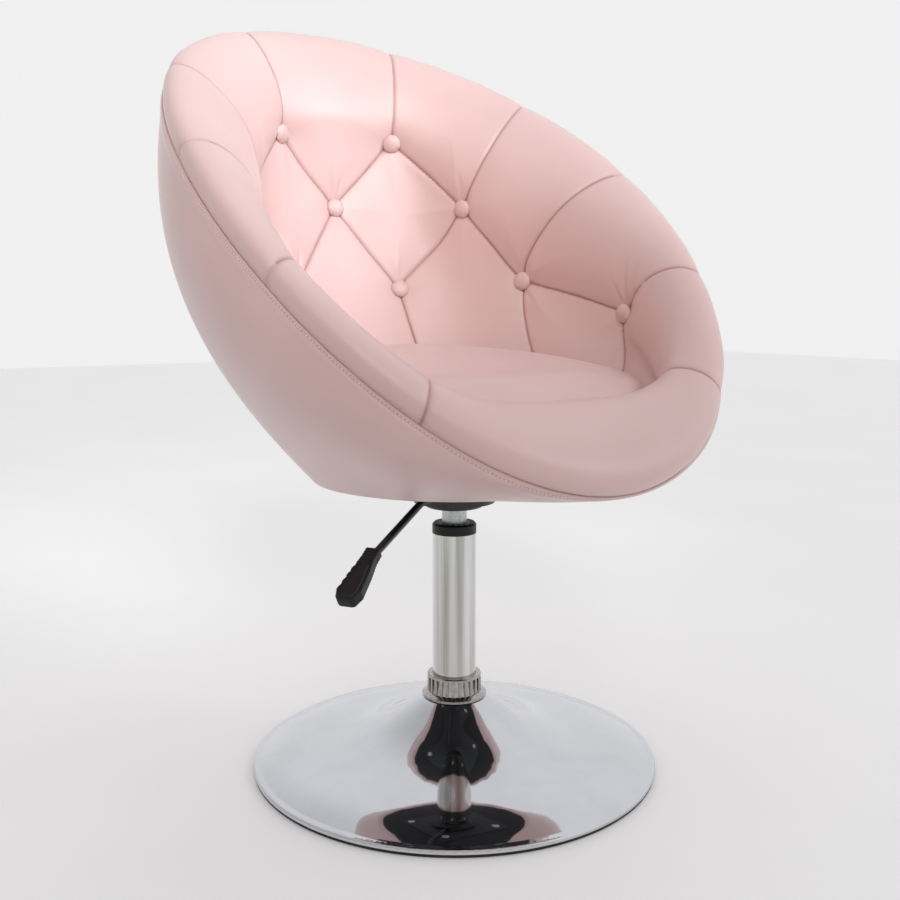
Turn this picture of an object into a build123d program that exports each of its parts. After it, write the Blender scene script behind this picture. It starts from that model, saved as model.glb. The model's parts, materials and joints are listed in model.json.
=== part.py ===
from build123d import *
import os
from math import atan2, cos, degrees, hypot, pi, radians, sin

os.makedirs("parts", exist_ok=True)

# Styling chair: a padded bucket seat on a gas-lift column and a round trumpet base.
# Millimetres, +Z up, origin at the centre of the base's underside, the sitter faces -Y.
# The chair is symmetric about X = 0 apart from its lift lever, on the sitter's right (-X).

# ---------- driving dimensions: bucket ----------
RIM_HALF_WIDTH = 292.0  # outer rim seam, half its width
RIM_HALF_DEPTH = 324.0  # outer rim seam, half its depth
RIM_CENTRE_Y = 46.0
RIM_MID_Z = 608.0
RIM_RISE = 255.0  # from mid height up to the back, and down to the front
RIM_LIFT = 52.0  # the sides arch above the sloping rim plane
RIM_SKEW = -16.0
RIM_EGG = -0.05  # front wider than back
RIM_SQUARE = -0.018
ROLL_LIP = 15.0  # the roll swells outwards over the outer rim seam
ROLL_SHOULDER = 48.0
ROLL_CROWN = 81.0
ROLL_GAP = 0.4  # between the rim roll and the wall it is sewn to

BOTTOM_RADIUS = 156.0
BOTTOM_Z = 332.0
WALL_BULGE = 1.65  # how soon the wall swells out above the bottom
FRONT_FLATTENING = 0.8
WALL_LEAN = 1.0

FLOOR_RADIUS = 150.0  # ring at the foot of the inner padding
FLOOR_Y = 10.0
FLOOR_Z = 395.0
INNER_BULGE = 1.3
PAD_FRONT_Y = -140.0  # the inner padding ends here, beside the front roll

# layers of the wall, as fractions of the way from its outside to its inside
COVER_LAYER = (0.0, 0.07)
SHELL_LAYER = (0.075, 0.18)
PADDING_LAYER = (0.185, 1.0)

WELT_DEPTH = 17.0  # folded strip just below the outer rim seam
WELT_THICKNESS = 2.0
WELT_OFFSET = 0.7  # clear of the cover it is folded over
WELT_GAP = 2.0  # below the seam

# radial seams of the rim roll, degrees from the sitter's left (+X) towards the back
ROLL_SEAMS = (-55.0, -27.0, 1.0, 31.0, 68.0)
SECTION_STEP = 10.0

# tufting buttons on one side and on the middle: degrees from the back's middle and height
# share; a share above 1 lies on the rim roll
TUFTS = ((0, 0.7), (24.8, 1.045), (59.5, 1.03), (24.7, 0.445), (88.6, 0.883), (116.2, 1.066))
BUTTON_RADIUS = 10.0
BUTTON_DOME = 4.5

CUSHION_TOP_Z = 456.0  # height of the cushion's top on the column axis
CUSHION_SLOPE = 0.08  # the top falls towards the front
CUSHION_GAP = 5.0
SEAT_BOARD_RADIUS = 148.0
SEAT_BOARD_Z = (332.3, 347.3)
CUSHION_BASE_RADIUS = 144.0
CUSHION_BASE_Z = (348.0, 402.0)

# ---------- driving dimensions: base and column ----------
BASE_RADIUS = 230.0
EDGE_RING_HEIGHT = 4.0
BASE_SHEET = 2.0
# outer face of the spun base from its rolled edge to its neck: radius, height, slope in degrees
BASE_PROFILE = (
    (222.0, 9.2, 22.0),
    (198.0, 17.5, 15.0),
    (159.0, 25.0, 10.5),
    (123.0, 31.5, 12.5),
    (87.0, 44.0, 24.0),
    (62.0, 59.0, 37.0),
    (45.0, 70.8, 39.0),
    (29.0, 79.7, 22.0),
)
BALLAST_RADIUS = 212.0
BALLAST_THICKNESS = 6.0
HUB_RADIUS = 33.0
HUB_FLANGE_RADIUS = 62.0
HUB_FLANGE_THICKNESS = 9.0
HUB_TOP_Z = 45.0
HUB_BOLT_CIRCLE = 49.0
COLLAR_Z = (77.0, 103.0)
COLLAR_RIBS = 26

COLUMN_RADIUS = 25.0
COLUMN_WALL = 1.5
COLUMN_Z = (12.0, 267.0)
BUSHING_BOTTOM_Z = 168.0
BUSHING_CAP_Z = 279.0
CYLINDER_RADIUS = 14.0
CYLINDER_BORE = 12.5
CYLINDER_Z = (48.0, 308.0)
RUNNING_FIT = 0.05
ROD_RADIUS = 5.0
ROD_TOP_Z = 240.0
SHOULDER_Z = 25.0
SPIGOT_RADIUS = 4.0

# ---------- driving dimensions: mechanism and lever ----------
PLATE_SIDE = 160.0
PLATE_Z = (326.8, 330.3)
PLATE_BOLT_SPACING = 120.0
PAN_RADIUS = 46.0
PAN_FLOOR_Z = 303.0
BOSS_RADIUS = 33.0
BOSS_Z = (297.0, 308.2)
LEVER_HEADING = 214.0  # degrees about +Z from +X: outwards and a little forwards
LEVER_PIVOT = (25.0, 316.0)  # distance from the column axis along the lever, height
LEVER_ROD_RADIUS = 4.0
LEVER_BEND = (88.0, 316.0)
LEVER_END = (216.0, 278.0)
GRIP_START = (196.0, 287.0)
GRIP_END = (250.0, 255.0)
PIN_RADIUS = 3.0
PIN_TOP_Z = 311.6


def save(name, shape):
    """Write one named piece."""
    shape.label = name
    export_step(shape, f"parts/{name}.step")


def tube(outer, inner, low, high):
    """Upright ring on the column axis."""
    height = high - low
    ring = Cylinder(outer, height) - Cylinder(inner, height)
    return Pos(0, 0, (low + high) / 2) * ring


def rod(radius, low, high):
    """Upright round bar on the column axis."""
    return Pos(0, 0, (low + high) / 2) * Cylinder(radius, high - low)


def turned(outline):
    """Solid of revolution about the column axis from (radius, height) points."""
    face = make_face(Plane.XZ * Polyline(*outline, close=True))
    return revolve(face, Axis.Z)


# ---------- shape of the bucket ----------
def rim_point(angle, outward=0.0):
    """Point on the outer rim seam: `angle` in radians, 90 degrees at the back."""
    side = sin(angle)
    plan = 1 + RIM_EGG * side + RIM_SQUARE * cos(2 * angle)
    arch = (RIM_LIFT + RIM_SKEW * side) * (1 - side**2)
    return Vector(
        (RIM_HALF_WIDTH + outward) * cos(angle) * plan,
        RIM_CENTRE_Y + (RIM_HALF_DEPTH + outward) * side,
        RIM_MID_Z + RIM_RISE * side * (1 + outward / RIM_HALF_DEPTH) + arch,
    )


def roll_place(angle, inward, up):
    """Point in the roll's section plane, measured from the outer rim seam."""
    seam = rim_point(angle)
    inward_way = (rim_point(angle, -10.0) - seam).normalized()
    up_way = Vector(0, -RIM_RISE, RIM_HALF_DEPTH).normalized()
    return seam + inward_way * inward + up_way * up


def roll_poles(angle):
    """Control points of the roll's crown, from the outer seam to the inner one."""
    side = sin(angle)
    front = max(0.0, -side) ** 4
    width = 103 + 84 * side - 57 * side**2 + 148 * front
    drop = 117 + 37 * side - 120 * side**2 + 33 * front
    return [
        (0.0, 0.0),
        (-ROLL_LIP, ROLL_SHOULDER),
        (ROLL_CROWN, 23 + 5 * side + 7 * front),
        (width, -31 + 5 * side + 58 * front),
        (width, -drop),
    ]


def crown_point(angle, share, gap=0.0):
    """Top of the rim roll: `share` is 0 at the outer rim seam and 1 at the inner one."""
    poles = roll_poles(angle)
    rest = 1 - share
    weights = [
        rest**4,
        4 * rest**3 * share,
        6 * rest**2 * share**2,
        4 * rest * share**3,
        share**4,
    ]
    inward = sum(weight * pole[0] for weight, pole in zip(weights, poles))
    up = sum(weight * pole[1] for weight, pole in zip(weights, poles))
    width, fall = poles[-1]
    lift = gap / hypot(width, fall)
    return roll_place(angle, inward - fall * lift, up + width * lift)


def outside_point(angle, share):
    """Outer face of the wall: `share` is 0 at the bottom edge and 1 at the outer rim seam."""
    seam = rim_point(angle)
    bulge = WALL_BULGE - FRONT_FLATTENING * max(0.0, -sin(angle)) ** 4
    swell = share + bulge * share * (1 - share)
    lean = share + WALL_LEAN * share * (1 - share)
    return Vector(
        BOTTOM_RADIUS * cos(angle) * (1 - swell) + seam.X * swell,
        BOTTOM_RADIUS * sin(angle) * (1 - swell)
        + (seam.Y - RIM_CENTRE_Y) * swell + RIM_CENTRE_Y * lean,
        BOTTOM_Z + (seam.Z - BOTTOM_Z) * share,
    )


def inside_point(angle, share):
    """Inner face of the padding: `share` is 0 at its foot and 1 at the inner rim seam."""
    seam = roll_place(angle, *roll_poles(angle)[-1])
    swell = share + INNER_BULGE * share * (1 - share)
    return Vector(
        FLOOR_RADIUS * cos(angle) * (1 - swell) + seam.X * swell,
        (FLOOR_Y + FLOOR_RADIUS * sin(angle)) * (1 - swell) + seam.Y * swell,
        FLOOR_Z + (seam.Z - FLOOR_Z) * share,
    )


def wall_point(angle, share, layer):
    """Point in the wall: `layer` is 0 on its outer face and 1 on its inner face."""
    return outside_point(angle, share) * (1 - layer) + inside_point(angle, share) * layer


def ring_loft(section, first=-90.0, last=90.0):
    """Loft the sections of one side from the front (-90 degrees) to the back (90)."""
    count = max(1, round((last - first) / SECTION_STEP))
    angles = [radians(first + (last - first) * i / count) for i in range(count + 1)]
    return Solid.make_loft([section(angle) for angle in angles])


def whole_ring(section):
    """Both sides of a ring that is symmetric about X = 0, as one solid."""
    half = ring_loft(section)
    return half + half.mirror(Plane.YZ)


def layer_section(layer, low=0.0, high=1.0):
    """Closed section of one layer of the wall, from share `low` to share `high`."""
    shares = [low + (high - low) * i / 8 for i in range(9)]

    def section(angle):
        outer = [wall_point(angle, share, layer[0]) for share in shares]
        inner = [wall_point(angle, share, layer[1]) for share in reversed(shares)]
        return Wire([
            Edge.make_spline(outer),
            Edge.make_line(outer[-1], inner[0]),
            Edge.make_spline(inner),
            Edge.make_line(inner[-1], outer[0]),
        ])

    return section


def roll_section(angle):
    """Section of the rim roll: a rounded crown over the sloping top of the wall."""
    crown = [crown_point(angle, i / 12, ROLL_GAP) for i in range(13)]
    return Wire([Edge.make_spline(crown), Edge.make_line(crown[-1], crown[0])])


# ---------- bucket: shell, padding, covers ----------
outer_cover = whole_ring(layer_section(COVER_LAYER))
save("outer_cover", outer_cover)

shell_frame = whole_ring(layer_section(SHELL_LAYER))
save("shell_frame", shell_frame)

padding_ring = whole_ring(layer_section(PADDING_LAYER))
PADDING_BOX = 1000.0
behind_front = Pos(0, PAD_FRONT_Y + PADDING_BOX / 2, PADDING_BOX / 2) * Box(
    PADDING_BOX, PADDING_BOX, PADDING_BOX
)
save("tufted_padding", padding_ring & behind_front)
save("front_padding", padding_ring - Pos(0, -0.3, 0) * behind_front)


def welt_section(angle):
    """Thin folded strip lying on the outside of the cover, under the rim roll."""
    seam = outside_point(angle, 1.0)
    length = (seam - outside_point(angle, 0.0)).length
    low_share = 1 - WELT_DEPTH / length
    top = outside_point(angle, 1 - WELT_GAP / length)
    low = outside_point(angle, low_share)
    along = outside_point(angle + 0.01, low_share) - outside_point(angle - 0.01, low_share)
    outward = along.cross(top - low).normalized()
    near = outward * WELT_OFFSET
    far = outward * (WELT_OFFSET + WELT_THICKNESS)
    return Wire.make_polygon([top + near, top + far, low + far, low + near])


save("welt_strip", whole_ring(welt_section))

sides = {"left": 1, "right": -1}
for number in range(len(ROLL_SEAMS) - 1):
    panel = ring_loft(roll_section, ROLL_SEAMS[number], ROLL_SEAMS[number + 1])
    save(f"rim_roll_left_{number + 1}", panel)
    save(f"rim_roll_right_{number + 1}", panel.mirror(Plane.YZ))
back_panel = ring_loft(roll_section, ROLL_SEAMS[-1], 180 - ROLL_SEAMS[-1])
save("rim_roll_back", back_panel)
front_panel = ring_loft(roll_section, -180 - ROLL_SEAMS[0], ROLL_SEAMS[0])
save("rim_roll_front", front_panel)


def face_point(angle, share):
    """Face of the upholstery: the inner wall up to share 1, then on over the rim roll."""
    return inside_point(angle, share) if share <= 1 else crown_point(angle, 2 - share)


def tuft_place(angle, share):
    """Plane on the face of the upholstery, its normal into the seat space."""
    point = face_point(angle, share)
    along = face_point(angle + 0.02, share) - face_point(angle - 0.02, share)
    rise = face_point(angle, share + 0.02) - face_point(angle, share - 0.02)
    return Plane(origin=point, x_dir=along, z_dir=rise.cross(along))


dome_sphere = (BUTTON_RADIUS**2 + BUTTON_DOME**2) / (2 * BUTTON_DOME)
dome = Pos(0, 0, BUTTON_DOME - dome_sphere) * Sphere(dome_sphere)
dome &= Pos(0, 0, BUTTON_DOME / 2) * Cylinder(BUTTON_RADIUS, BUTTON_DOME)
buttons = []
for turn, share in TUFTS:
    for angle in {90 - turn, 90 + turn}:
        place = tuft_place(radians(angle), share)
        buttons.append(place.location * Pos(0, 0, 1.5) * dome)
save("tuft_buttons", Compound(buttons))


def cushion_ring(level, inset):
    """Outline of the seat cushion: `level` is 0 at its foot and 1 on its sloping top."""
    points = []
    foot = CUSHION_BASE_Z[1] + 1
    centre = Vector(0, FLOOR_Y, 0)
    for degree in range(0, 360, 10):
        angle = radians(degree)
        top = inside_point(angle, 1.0)
        y = top.Y
        for _ in range(4):
            height = foot + (CUSHION_TOP_Z + CUSHION_SLOPE * y - foot) * level
            share = min(1.0, (height - FLOOR_Z) / (top.Z - FLOOR_Z))
            edge = inside_point(angle, share)
            ray = Vector(edge.X, edge.Y, 0) - centre
            inner = centre + ray * (1 - inset / ray.length)
            y = inner.Y
        height = foot + (CUSHION_TOP_Z + CUSHION_SLOPE * y - foot) * level
        points.append(Vector(inner.X, y, height))
    return Wire([Edge.make_spline(points, periodic=True)])


cushion_levels = [
    (0.0, 6.0),
    (0.12, 3.0),
    (0.25, 1.5),
    (0.4, 1.0),
    (0.6, 1.0),
    (0.78, 3.0),
    (0.9, 8.0),
    (0.97, 15.0),
    (1.0, 26.0),
]
cushion_rings = [cushion_ring(level, CUSHION_GAP + inset) for level, inset in cushion_levels]
save("seat_cushion", Solid.make_loft(cushion_rings, ruled=True))

save("cushion_base", Pos(0, FLOOR_Y, 0) * rod(CUSHION_BASE_RADIUS, *CUSHION_BASE_Z))

# ---------- seat board, its nuts, and the mechanism under it ----------
half_spacing = PLATE_BOLT_SPACING / 2
bolt_places = [
    Pos(x, y, 0) for x in (-half_spacing, half_spacing) for y in (-half_spacing, half_spacing)
]
NUT_BARREL_RADIUS = 5.0
NUT_FLANGE_RADIUS = 9.5
BOLT_RADIUS = 4.0
BOLT_HEAD_RADIUS = 8.0
BOLT_HEAD_HEIGHT = 4.5

board = rod(SEAT_BOARD_RADIUS, *SEAT_BOARD_Z)
for place in bolt_places:
    board -= place * rod(NUT_BARREL_RADIUS, SEAT_BOARD_Z[0], SEAT_BOARD_Z[1])
    board -= place * rod(NUT_FLANGE_RADIUS, SEAT_BOARD_Z[1] - 1.5, SEAT_BOARD_Z[1])
save("seat_board", board)

nut = rod(NUT_BARREL_RADIUS, SEAT_BOARD_Z[0], SEAT_BOARD_Z[1] - 1.5)
nut += rod(NUT_FLANGE_RADIUS, SEAT_BOARD_Z[1] - 1.5, SEAT_BOARD_Z[1])
nut -= rod(BOLT_RADIUS, SEAT_BOARD_Z[0], SEAT_BOARD_Z[1])
save("tee_nuts", Compound([place * nut for place in bolt_places]))

BOTTOM_COVER_Z = (330.6, 331.8)
DUST_COVER_RADIUS = 146.0
bottom_ring = tube(BOTTOM_RADIUS - 1, DUST_COVER_RADIUS + 0.5, *BOTTOM_COVER_Z)
save("bottom_ring", bottom_ring)

dust_cover = rod(DUST_COVER_RADIUS, *BOTTOM_COVER_Z)
for place in bolt_places:
    dust_cover -= place * rod(BOLT_RADIUS + 0.5, *BOTTOM_COVER_Z)
save("dust_cover", dust_cover)

bolt = rod(BOLT_RADIUS, PLATE_Z[0], SEAT_BOARD_Z[1] - 2.0)
bolt_head = rod(BOLT_HEAD_RADIUS, PLATE_Z[0] - BOLT_HEAD_HEIGHT, PLATE_Z[0])
bolt_head = fillet(bolt_head.edges().group_by(Axis.Z)[0], 2.5)
SOCKET_RADIUS = 2.9
SOCKET_DEPTH = 2.5
hex_socket = extrude(RegularPolygon(SOCKET_RADIUS, 6), SOCKET_DEPTH)
bolt_head -= Pos(0, 0, PLATE_Z[0] - BOLT_HEAD_HEIGHT) * hex_socket
save("plate_bolts", Compound([place * (bolt + bolt_head) for place in bolt_places]))

lever_turn = Rot(0, 0, LEVER_HEADING)
PAN_WALL = 3.0
plate = Pos(0, 0, sum(PLATE_Z) / 2) * Box(PLATE_SIDE, PLATE_SIDE, PLATE_Z[1] - PLATE_Z[0])
plate = fillet(plate.edges().filter_by(Axis.Z), 12.0)
for place in bolt_places:
    plate -= place * rod(BOLT_RADIUS + 0.3, *PLATE_Z)
pan = tube(PAN_RADIUS, PAN_RADIUS - PAN_WALL, PAN_FLOOR_Z, PLATE_Z[0])
pan += rod(PAN_RADIUS, PAN_FLOOR_Z, PAN_FLOOR_Z + PAN_WALL)
pan += rod(BOSS_RADIUS, *BOSS_Z)
pan = fillet(pan.edges().filter_by(GeomType.CIRCLE).group_by(Axis.Z)[0], 3.0)
SLOT_WIDTH = 22.0
SLOT_Z = (309.0, 326.0)
slot = Pos(PAN_RADIUS, 0, sum(SLOT_Z) / 2) * Box(20.0, SLOT_WIDTH, SLOT_Z[1] - SLOT_Z[0])
pan -= lever_turn * slot
LUG_OFFSET = 11.0
LUG_SIZE = (16.0, 3.0, PLATE_Z[0] - BOSS_Z[1])
for across in (-LUG_OFFSET, LUG_OFFSET):
    lug = Pos(LEVER_PIVOT[0], across, BOSS_Z[1] + LUG_SIZE[2] / 2) * Box(*LUG_SIZE)
    pan += lever_turn * lug
pivot_place = lever_turn * Pos(LEVER_PIVOT[0], 0, LEVER_PIVOT[1]) * Rot(90, 0, 0)
PIVOT_RADIUS = 3.0
PIVOT_LENGTH = 2 * LUG_OFFSET + 6
housing = plate + pan - rod(CYLINDER_RADIUS, *BOSS_Z)
housing -= pivot_place * Cylinder(PIVOT_RADIUS, PIVOT_LENGTH)
save("mechanism_housing", housing)

pivot_pin = pivot_place * Cylinder(PIVOT_RADIUS, PIVOT_LENGTH)
save("lever_pivot_pin", pivot_pin)

# ---------- lever ----------
lever_path = FilletPolyline(
    (-6.0, 0, LEVER_PIVOT[1]),
    (LEVER_BEND[0], 0, LEVER_BEND[1]),
    (LEVER_END[0], 0, LEVER_END[1]),
    radius=40.0,
)
start_plane = Plane(origin=(-6.0, 0, LEVER_PIVOT[1]), z_dir=(1, 0, 0))
lever_rod = sweep(start_plane * Circle(LEVER_ROD_RADIUS), path=lever_path)
HUB_LENGTH = 18.0
PIVOT_HUB_RADIUS = 6.5
local_pivot = Pos(LEVER_PIVOT[0], 0, LEVER_PIVOT[1]) * Rot(90, 0, 0)
lever_rod += local_pivot * Cylinder(PIVOT_HUB_RADIUS, HUB_LENGTH)
lever_rod -= local_pivot * Cylinder(PIVOT_RADIUS + RUNNING_FIT, HUB_LENGTH)
save("lever_rod", lever_turn * lever_rod)

grip_length = hypot(GRIP_END[0] - GRIP_START[0], GRIP_END[1] - GRIP_START[1])
grip_droop = degrees(atan2(GRIP_START[1] - GRIP_END[1], GRIP_END[0] - GRIP_START[0]))
GRIP_NECK = 7.5
GRIP_TIP = 13.0
GRIP_THICKNESS = 13.0
grip_outline = Spline(
    (0, GRIP_NECK),
    (grip_length * 0.5, GRIP_NECK + 3),
    (grip_length * 0.9, GRIP_TIP),
    (grip_length + 3, GRIP_TIP - 4),
    (grip_length + 6, 0),
    (grip_length + 3, -GRIP_TIP + 4),
    (grip_length * 0.9, -GRIP_TIP),
    (grip_length * 0.5, -GRIP_NECK - 3),
    (0, -GRIP_NECK),
)
grip_face = make_face([grip_outline, Line((0, -GRIP_NECK), (0, GRIP_NECK))])
grip = extrude(grip_face, GRIP_THICKNESS / 2, both=True)
grip = fillet(grip.edges().group_by(Axis.Z)[0] + grip.edges().group_by(Axis.Z)[-1], 4.0)
grip = Pos(GRIP_START[0], 0, GRIP_START[1]) * Rot(0, grip_droop, 0) * grip
rod_end = sweep(start_plane * Circle(LEVER_ROD_RADIUS), path=lever_path)
save("lever_grip", lever_turn * (grip - rod_end))

# ---------- gas spring ----------
PORT_RADIUS = PIN_RADIUS + RUNNING_FIT
cylinder = rod(CYLINDER_RADIUS, *CYLINDER_Z)
cylinder -= rod(CYLINDER_BORE, CYLINDER_Z[0], CYLINDER_Z[1] - 20)
cylinder -= rod(PORT_RADIUS, CYLINDER_Z[1] - 20, CYLINDER_Z[1])
save("gas_cylinder", cylinder)

SEAL_HEIGHT = 14.0
seal = tube(CYLINDER_BORE, ROD_RADIUS + RUNNING_FIT, CYLINDER_Z[0], CYLINDER_Z[0] + SEAL_HEIGHT)
save("cylinder_seal", seal)

save("release_pin", rod(PIN_RADIUS, CYLINDER_Z[1] - 16, PIN_TOP_Z))

RACE_THICKNESS = 2.0
RACE_RADIUS = 16.0
BALL_RADIUS = 1.5
BALL_CIRCLE = 11.0
BALL_COUNT = 12
PLUG_Z = (COLUMN_Z[0], 18.0)
lower_race_z = (PLUG_Z[1], PLUG_Z[1] + RACE_THICKNESS)
upper_race_z = (SHOULDER_Z - RACE_THICKNESS + RUNNING_FIT, SHOULDER_Z)
spigot_bottom = COLUMN_Z[0] - 3.2
piston_rod = rod(ROD_RADIUS, SHOULDER_Z, ROD_TOP_Z) + rod(SPIGOT_RADIUS, spigot_bottom, SHOULDER_Z)
groove = tube(SPIGOT_RADIUS, SPIGOT_RADIUS - 1, COLUMN_Z[0] - 1.8, COLUMN_Z[0] - 0.2)
save("piston_rod", piston_rod - groove)

piston = tube(CYLINDER_BORE - RUNNING_FIT, ROD_RADIUS, ROD_TOP_Z - 14, ROD_TOP_Z - 2)
save("piston", piston)

clip = tube(SPIGOT_RADIUS + 4, SPIGOT_RADIUS - 1, COLUMN_Z[0] - 1.8, COLUMN_Z[0] - 0.2)
CLIP_OPENING = 4.0
clip -= Pos(SPIGOT_RADIUS + 1, 0, COLUMN_Z[0] - 1) * Box(2 * SPIGOT_RADIUS, CLIP_OPENING, 2)
save("retaining_clip", clip)

save("bearing_lower_race", tube(RACE_RADIUS, SPIGOT_RADIUS + RUNNING_FIT, *lower_race_z))
save("bearing_upper_race", tube(RACE_RADIUS, SPIGOT_RADIUS, *upper_race_z))
ball_height = (lower_race_z[1] + upper_race_z[0]) / 2
ball_places = [
    Rot(0, 0, 360 * i / BALL_COUNT) * Pos(BALL_CIRCLE, 0, ball_height) for i in range(BALL_COUNT)
]
cage = tube(RACE_RADIUS - 1, BALL_CIRCLE - 4, ball_height - 0.6, ball_height + 0.6)
for place in ball_places:
    cage -= place * Cylinder(BALL_RADIUS + 0.1, 2)
save("bearing_cage", cage)
save("bearing_balls", Compound([place * Sphere(BALL_RADIUS) for place in ball_places]))

BUFFER_TOP_Z = 45.0
buffer = tube(CYLINDER_RADIUS, ROD_RADIUS, SHOULDER_Z, BUFFER_TOP_Z)
save("rubber_buffer", buffer)

# ---------- column ----------
bore = COLUMN_RADIUS - COLUMN_WALL
save("column_tube", tube(COLUMN_RADIUS, bore, *COLUMN_Z))
save("column_plug", tube(bore, SPIGOT_RADIUS + RUNNING_FIT, *PLUG_Z))

BUSHING_SLOTS = 20
bushing_cap = rod(COLUMN_RADIUS, COLUMN_Z[1], BUSHING_CAP_Z)
bushing_cap = chamfer(bushing_cap.edges().group_by(Axis.Z)[-1], 2.0)
bushing = rod(bore, BUSHING_BOTTOM_Z, COLUMN_Z[1]) + bushing_cap
for i in range(BUSHING_SLOTS):
    notch = Rot(0, 0, 360 * i / BUSHING_SLOTS) * Pos(20.5, 0, BUSHING_CAP_Z) * Box(5, 1.8, 3)
    bushing -= notch
bushing -= rod(CYLINDER_RADIUS + RUNNING_FIT, BUSHING_BOTTOM_Z, BUSHING_CAP_Z)
save("guide_bushing", bushing)

# ---------- base ----------
ring_outline = [
    (BALLAST_RADIUS, 0),
    (BASE_RADIUS - 2, 0),
    (BASE_RADIUS - 0.5, 1.5),
    (BASE_RADIUS - 0.5, EDGE_RING_HEIGHT),
    (BALLAST_RADIUS, EDGE_RING_HEIGHT),
]
save("base_edge_ring", turned(ring_outline))

ballast = rod(BALLAST_RADIUS, 0, BALLAST_THICKNESS)
HUB_BOLTS = 4
hub_bolt_places = [
    Rot(0, 0, 45 + 360 * i / HUB_BOLTS) * Pos(HUB_BOLT_CIRCLE, 0, 0) for i in range(HUB_BOLTS)
]
HEAD_DEPTH = 5.0
HEAD_RADIUS = 8.0
hub_bolt_top = BALLAST_THICKNESS + HUB_FLANGE_THICKNESS + 5
screw = rod(BOLT_RADIUS, HEAD_DEPTH, hub_bolt_top)
screw += Pos(0, 0, HEAD_DEPTH / 2) * Cone(HEAD_RADIUS, BOLT_RADIUS, HEAD_DEPTH)
screw = Pos(0, 0, 0.3) * screw
for place in hub_bolt_places:
    ballast -= place * screw
    ballast -= place * rod(HEAD_RADIUS, 0, 0.3)
save("base_plate", ballast)
screw -= Pos(0, 0, 0.3) * extrude(RegularPolygon(SOCKET_RADIUS, 6), SOCKET_DEPTH)
save("hub_bolts", Compound([place * screw for place in hub_bolt_places]))

hub = rod(HUB_RADIUS, BALLAST_THICKNESS, HUB_TOP_Z)
hub += rod(HUB_FLANGE_RADIUS, BALLAST_THICKNESS, BALLAST_THICKNESS + HUB_FLANGE_THICKNESS)
hub -= rod(COLUMN_RADIUS, COLUMN_Z[0], HUB_TOP_Z)
hub -= rod(COLUMN_RADIUS - 3, BALLAST_THICKNESS, COLUMN_Z[0])
for place in hub_bolt_places:
    hub -= place * rod(BOLT_RADIUS, BALLAST_THICKNESS, hub_bolt_top)
save("column_hub", hub)

nut_low = BALLAST_THICKNESS + HUB_FLANGE_THICKNESS
hub_nut = extrude(RegularPolygon(7.5, 6), 5.0) - Pos(0, 0, 2.5) * Cylinder(BOLT_RADIUS, 5.0)
hub_nut = Pos(0, 0, nut_low) * hub_nut
save("hub_nuts", Compound([place * hub_nut for place in hub_bolt_places]))


def trumpet(inset):
    """Edge, roll and flare curves of the spun base, drawn in by `inset`."""
    lip = (BASE_RADIUS - inset, EDGE_RING_HEIGHT + 1.5)
    flare = [
        (radius - inset * sin(radians(slope)), height - inset * cos(radians(slope)))
        for radius, height, slope in BASE_PROFILE
    ]
    ends = [
        (-cos(radians(slope)), sin(radians(slope)))
        for slope in (BASE_PROFILE[0][2], BASE_PROFILE[-1][2])
    ]
    roll = Spline(lip, flare[0], tangents=[(0.0, 1.0), ends[0]])
    return lip, roll, Spline(*flare, tangents=ends), flare[-1]


outer_lip, outer_roll, outer_curve, outer_neck = trumpet(0.0)
inner_lip, inner_roll, inner_curve, inner_neck = trumpet(BASE_SHEET)
foot_outer = (outer_lip[0], EDGE_RING_HEIGHT)
foot_inner = (inner_lip[0], EDGE_RING_HEIGHT)
shell_profile = make_face([
    Plane.XZ * edge
    for edge in (
        Line(foot_inner, foot_outer),
        Line(foot_outer, outer_lip),
        outer_roll,
        outer_curve,
        Line(outer_neck, inner_neck),
        inner_curve,
        inner_roll,
        Line(inner_lip, foot_inner),
    )
])
save("base_shell", revolve(shell_profile, Axis.Z))

COLLAR_FLANGE_RADIUS = 37.0
COLLAR_LIP_RADIUS = 31.0
COLLAR_WAIST_RADIUS = 27.6
COLLAR_BORE_RADIUS = 29.4  # the neck of the base sits in the collar's sloping foot
COLLAR_SEAT_Z = 81.0
collar_outline = [
    (COLLAR_BORE_RADIUS, COLLAR_SEAT_Z - 0.6),
    (COLLAR_FLANGE_RADIUS, COLLAR_Z[0]),
    (COLLAR_FLANGE_RADIUS, COLLAR_Z[0] + 2.6),
    (COLLAR_WAIST_RADIUS + 2.5, COLLAR_Z[0] + 5.6),
    (COLLAR_WAIST_RADIUS, COLLAR_Z[1] - 4),
    (COLLAR_LIP_RADIUS, COLLAR_Z[1] - 3),
    (COLLAR_LIP_RADIUS, COLLAR_Z[1] - 1),
    (COLLAR_LIP_RADIUS - 1, COLLAR_Z[1]),
    (COLUMN_RADIUS + 0.2, COLLAR_Z[1]),
    (COLUMN_RADIUS + 0.2, COLLAR_SEAT_Z + 1.5),
    (COLLAR_BORE_RADIUS, COLLAR_SEAT_Z),
]
collar = turned(collar_outline)
rib_height = COLLAR_Z[1] - COLLAR_Z[0] - 6.4
rib_middle = COLLAR_Z[0] + 3.4 + rib_height / 2
rib = Pos(COLLAR_WAIST_RADIUS + 1.4, 0, rib_middle) * Box(3.6, 3.4, rib_height)
for i in range(COLLAR_RIBS):
    collar += Rot(0, 0, 360 * i / COLLAR_RIBS) * rib
save("trim_collar", collar)
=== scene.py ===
import json
from math import atan2, cos, hypot, pi, radians, sin

import bmesh
import bpy
import numpy as np
from mathutils import Matrix, Vector
from mathutils.kdtree import KDTree


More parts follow.
